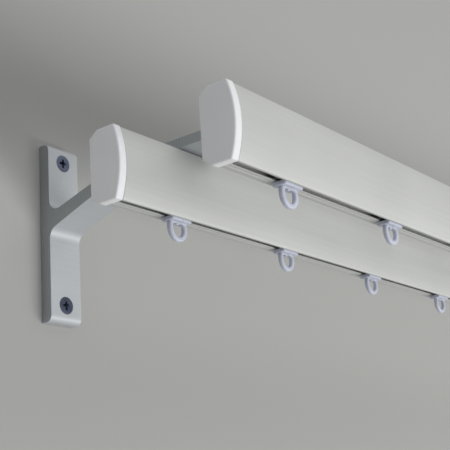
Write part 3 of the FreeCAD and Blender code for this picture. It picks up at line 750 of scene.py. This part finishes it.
def swept_ring(path, wide, deep, squareness=2.6, around=16):
    """Closed tube round a closed path, with a superellipse for a section: deep means along Y."""
    ahead = np.roll(path, -1, 0) - np.roll(path, 1, 0)
    ahead /= np.linalg.norm(ahead, axis=1)[:, None]
    side = np.stack([ahead[:, 1], -ahead[:, 0]], -1)
    angle = np.linspace(0, math.tau, around, endpoint=False)
    power = 2 / squareness
    u = np.sign(np.cos(angle)) * np.abs(np.cos(angle)) ** power * wide / 2
    v = np.sign(np.sin(angle)) * np.abs(np.sin(angle)) ** power * deep / 2
    x = path[:, :1] + side[:, :1] * u
    z = path[:, 1:] + side[:, 1:] * u
    y = np.broadcast_to(v, x.shape)
    faces = grid_faces(len(path), around, close_rows=True)
    return np.stack([x, y, z], -1).reshape(-1, 3), faces


def ellipsoid(radii, rows=9, around=20):
    """Ball stretched to three radii."""
    down = np.linspace(0, math.pi, rows)[:, None]
    angle = np.linspace(0, math.tau, around, endpoint=False)[None]
    points = np.stack([np.sin(down) * np.cos(angle), np.sin(down) * np.sin(angle),
                       np.cos(down) * np.ones_like(angle)], -1) * np.array(radii)
    return points.reshape(-1, 3), grid_faces(rows, around)


def block(long, deep, bottom, top, corner, rounding):
    """Moulded block centred on the glider."""
    outline = rectangle(-long / 2, long / 2, -deep / 2, deep / 2, corner)
    return moulded(outline, bottom, top, rounding)


# Heights are counted from the top of the eye's opening, 2.6 mm under the rail's lips. A small ball
# makes the nub that shows at the top of the opening.
LIPS, COLLAR_LOW, COLLAR_HIGH, GLIDER_WIDTH = 2.6, 0.4, 2.4, 6.8
HEAD_LOW, HEAD_HIGH = LIPS + 1.4, LIPS + 4.4
COLLAR_LENGTH, STEM_LENGTH, HEAD_LENGTH, STEM_WIDTH, EYE_WIRE = 13.0, 6.0, 10.0, 2.4, 2.4
collar = block(COLLAR_LENGTH, GLIDER_WIDTH, COLLAR_LOW, COLLAR_HIGH, corner=0.8, rounding=0.35)
stem = block(STEM_LENGTH, STEM_WIDTH, COLLAR_HIGH - 0.2, HEAD_LOW + 0.1, corner=0.3, rounding=0.1)
head = block(HEAD_LENGTH, GLIDER_WIDTH, HEAD_LOW, HEAD_HIGH, corner=0.8, rounding=0.4)
glider = [collar, stem, head, swept_ring(eye_path(), EYE_WIRE, EYE_WIRE), ellipsoid((0.9, 0.8, 0.8))]

# %% Set a glider at each place
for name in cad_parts:
    if "_glider_" in name:
        low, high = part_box(name)
        seat = {"x": (low.x + high.x) / 2 / MM, "y": (low.y + high.y) / 2 / MM,
                "z": high.z / MM - HEAD_HIGH}
        piece = build(f"{name}_moulding", [move(shell, **seat) for shell in glider], sharp=60)
        finish_piece(piece, name, "glider_plastic", glider_finish, name)
print("glider", len(piece.data.polygons), "faces")

# %% [markdown]
# ## Camera
# The camera stands a little below the track and to its left, turned a few degrees, as the eye of
# someone who looks along the rails from the end of the window.

# %% Camera
AZIMUTH, ELEVATION, ROLL = math.radians(52.97), math.radians(16.89), math.radians(-4.10)
EYE, LENS, SENSOR = (-672.21, -368.78, -152.10), 82.93, 36.0
ahead = np.array([math.sin(AZIMUTH) * math.cos(ELEVATION), math.cos(AZIMUTH) * math.cos(ELEVATION),
                  math.sin(ELEVATION)])
level = np.array([math.cos(AZIMUTH), -math.sin(AZIMUTH), 0.0])
above = np.cross(level, ahead)
right = level * math.cos(ROLL) + above * math.sin(ROLL)
upward = -level * math.sin(ROLL) + above * math.cos(ROLL)
camera = bpy.data.objects.new("camera", bpy.data.cameras.new("camera"))
bpy.context.scene.collection.objects.link(camera)
camera.data.lens, camera.data.sensor_width = LENS, SENSOR
camera.data.clip_start, camera.data.clip_end = 0.01, 20.0
turned = np.eye(4)
turned[:3, 0], turned[:3, 1], turned[:3, 2] = right, upward, -ahead
turned[:3, 3] = np.array(EYE) * MM
camera.matrix_world = Matrix(turned.tolist())
bpy.context.scene.camera = camera

# %% [markdown]
# ## Studio
# A pale floor lies far below, as under a real curtain, and a pale wall carries the brackets. Only
# the room side of the wall is solid, and it has openings behind the two wall plates, so the backs
# of the brackets can be looked at too. Two wide soft boxes stand in front and to the right, which
# leaves the ends of the track in shade. The stronger one is low, so that it reaches the rear rail
# under the front one and lights the undersides. A lamp straight ahead would put the rear rail in
# shadow.

# %% Floor, wall and light
def plain(name, code):
    """Matt paint with a barely visible unevenness."""
    material, tree = new_material(name)
    place = add(tree, "ShaderNodeTexCoord").outputs["Object"]
    soft = add(tree, "ShaderNodeTexNoise", {"Vector": place, "Scale": 3.0, "Detail": 2.0})
    rough = add(tree, "ShaderNodeMapRange",
                {"Value": soft.outputs["Fac"], "From Min": 0.3, "From Max": 0.7,
                 "To Min": 0.85, "To Max": 0.95})
    shader = add(tree, "ShaderNodeBsdfPrincipled",
                 {"Base Color": linear(code), "Roughness": rough.outputs[0]})
    return material, tree, shader


def sheet(name, corners, material):
    """Flat backdrop from its four corners, in metres."""
    mesh = bpy.data.meshes.new(name)
    mesh.from_pydata(corners, [], [(0, 1, 2, 3)])
    mesh.materials.append(material)
    thing = bpy.data.objects.new(name, mesh)
    bpy.context.scene.collection.objects.link(thing)


FLOOR_DEPTH, REACH = -2.0, 4.0
material, tree, shader = plain("pale_floor_paint", "#D8D7D2")
add(tree, "ShaderNodeOutputMaterial", {"Surface": shader.outputs[0]})
sheet("floor", [(-REACH, -REACH, FLOOR_DEPTH), (REACH, -REACH, FLOOR_DEPTH),
                (REACH, REACH, FLOOR_DEPTH), (-REACH, REACH, FLOOR_DEPTH)], material)
material, tree, shader = plain("pale_wall_paint", "#A9A9A6")
back = add(tree, "ShaderNodeNewGeometry").outputs["Backfacing"]
clear = add(tree, "ShaderNodeBsdfTransparent")
one_sided = add(tree, "ShaderNodeMixShader", {0: back, 1: shader.outputs[0], 2: clear.outputs[0]})
add(tree, "ShaderNodeOutputMaterial", {"Surface": one_sided.outputs[0]})
WALL_Y, WALL_HALF, WALL_TOP, MARGIN = 0.0003, 2.2, 1.3, 0.0005
plates = [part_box(f"{side}_bracket") for side in ("left", "right")]
plate_edges = [edge for low, high in plates for edge in (low.x + MARGIN, high.x - MARGIN)]
across = sorted([-WALL_HALF, WALL_HALF] + plate_edges)
upwards = [FLOOR_DEPTH, plates[0][0].z + MARGIN, plates[0][1].z - MARGIN, WALL_TOP]
for column, (left_edge, right_edge) in enumerate(zip(across, across[1:])):
    for row, (lower_edge, upper_edge) in enumerate(zip(upwards, upwards[1:])):
        if row != 1 or column % 2 == 0:
            sheet(f"wall_{column}_{row}",
                  [(left_edge, WALL_Y, lower_edge), (right_edge, WALL_Y, lower_edge),
                   (right_edge, WALL_Y, upper_edge), (left_edge, WALL_Y, upper_edge)], material)


def soft_box(name, place, target, width, height, power):
    """Rectangular area light that looks at a point."""
    light = bpy.data.lights.new(name, "AREA")
    light.shape, light.size, light.size_y, light.energy = "RECTANGLE", width, height, power
    lamp = bpy.data.objects.new(name, light)
    bpy.context.scene.collection.objects.link(lamp)
    lamp.location, lamp.visible_camera = place, False
    lamp.rotation_euler = (Vector(target) - Vector(place)).to_track_quat("-Z", "Y").to_euler()


soft_box("high_box", (0.7, -2.4, 1.9), (0, -0.1, 0), 2.6, 1.2, 12)
soft_box("low_box", (0.5, -1.6, -1.05), (0, -0.1, 0), 2.2, 0.6, 29)

world = bpy.data.worlds.new("pale_room")
bpy.context.scene.world = world
world.use_nodes = True
world.node_tree.nodes.clear()
tree = world.node_tree
path = add(tree, "ShaderNodeLightPath")
even = add(tree, "ShaderNodeBackground", {"Color": linear("#E6E8EA"), "Strength": 0.6})
shown = add(tree, "ShaderNodeBackground", {"Color": linear("#DCDBD6"), "Strength": 1.0})
seen = add(tree, "ShaderNodeMath", operation="MAXIMUM",
           inputs={0: path.outputs["Is Camera Ray"], 1: path.outputs["Is Glossy Ray"]})
seen = add(tree, "ShaderNodeMath", operation="MAXIMUM",
           inputs={0: seen.outputs[0], 1: path.outputs["Is Transmission Ray"]})
mix = add(tree, "ShaderNodeMixShader",
          {0: seen.outputs[0], 1: even.outputs[0], 2: shown.outputs[0]})
add(tree, "ShaderNodeOutputWorld", {"Surface": mix.outputs[0]})
bpy.context.scene.view_settings.view_transform = "Standard"
